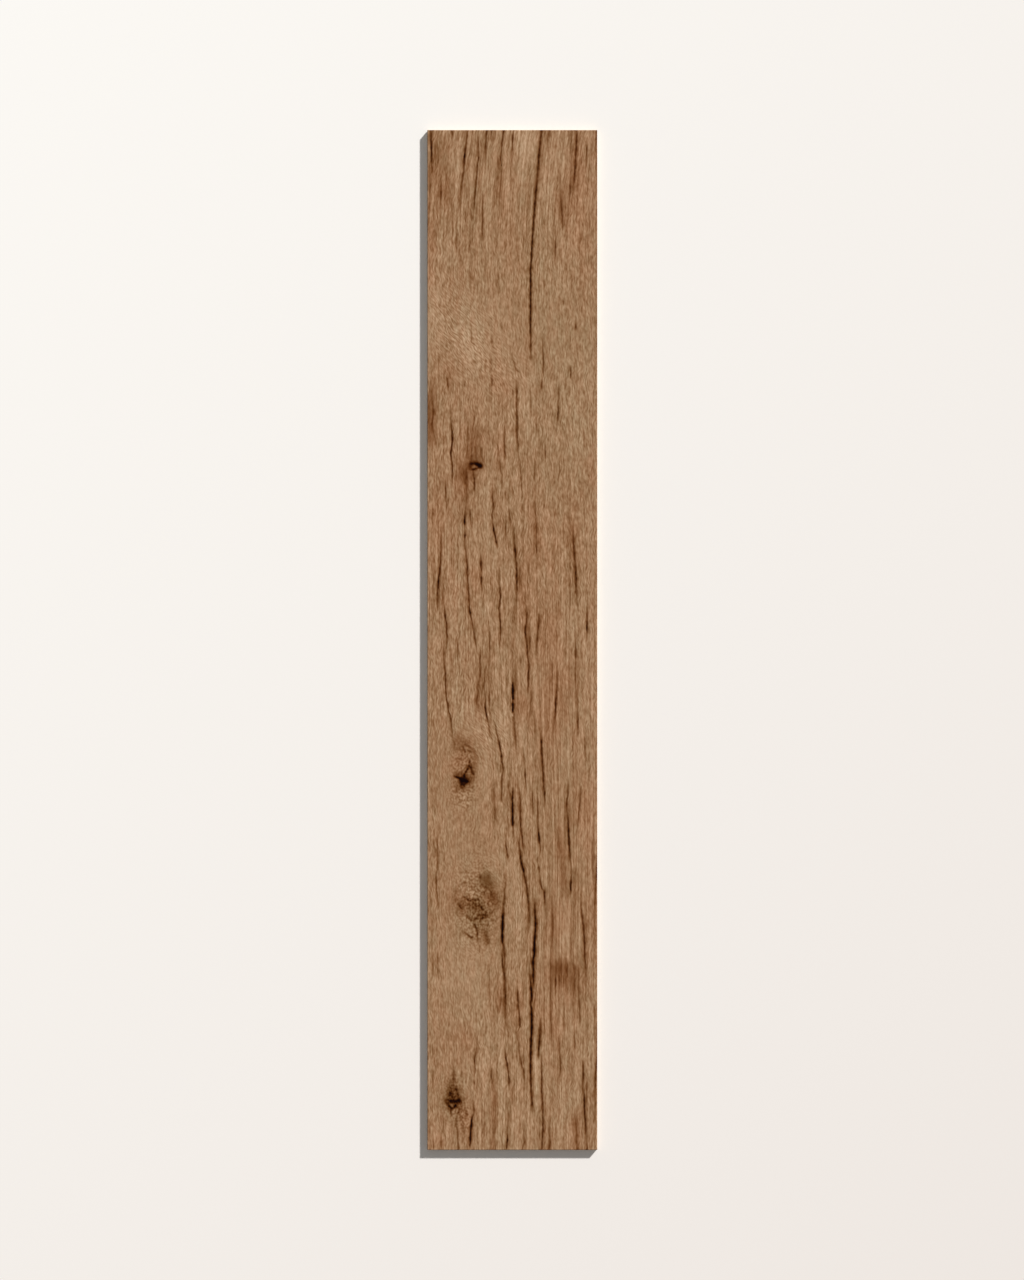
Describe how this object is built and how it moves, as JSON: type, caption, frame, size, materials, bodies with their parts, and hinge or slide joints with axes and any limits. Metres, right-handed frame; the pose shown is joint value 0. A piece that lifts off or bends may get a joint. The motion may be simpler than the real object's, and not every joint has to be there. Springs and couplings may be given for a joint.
{
  "type": "wood look porcelain plank tile",
  "caption": "Long thin rectangular porcelain tile with a matt wood-grain face, finely bevelled square-ground edges and a shallow waffle back, bedded in adhesive to cover a floor or wall.",
  "frame": {"origin": "middle of the bedding plane, on which the ribs of the back stand", "axes": "+Z out of the printed face, +Y along the plank's length, +X across its width"},
  "size_m": [0.2, 1.2, 0.009],
  "materials": {
    "glazed_porcelain": "matte"
  },
  "bodies": {
    "root": {"plank_tile": "glazed_porcelain"}
  },
  "joints": []
}
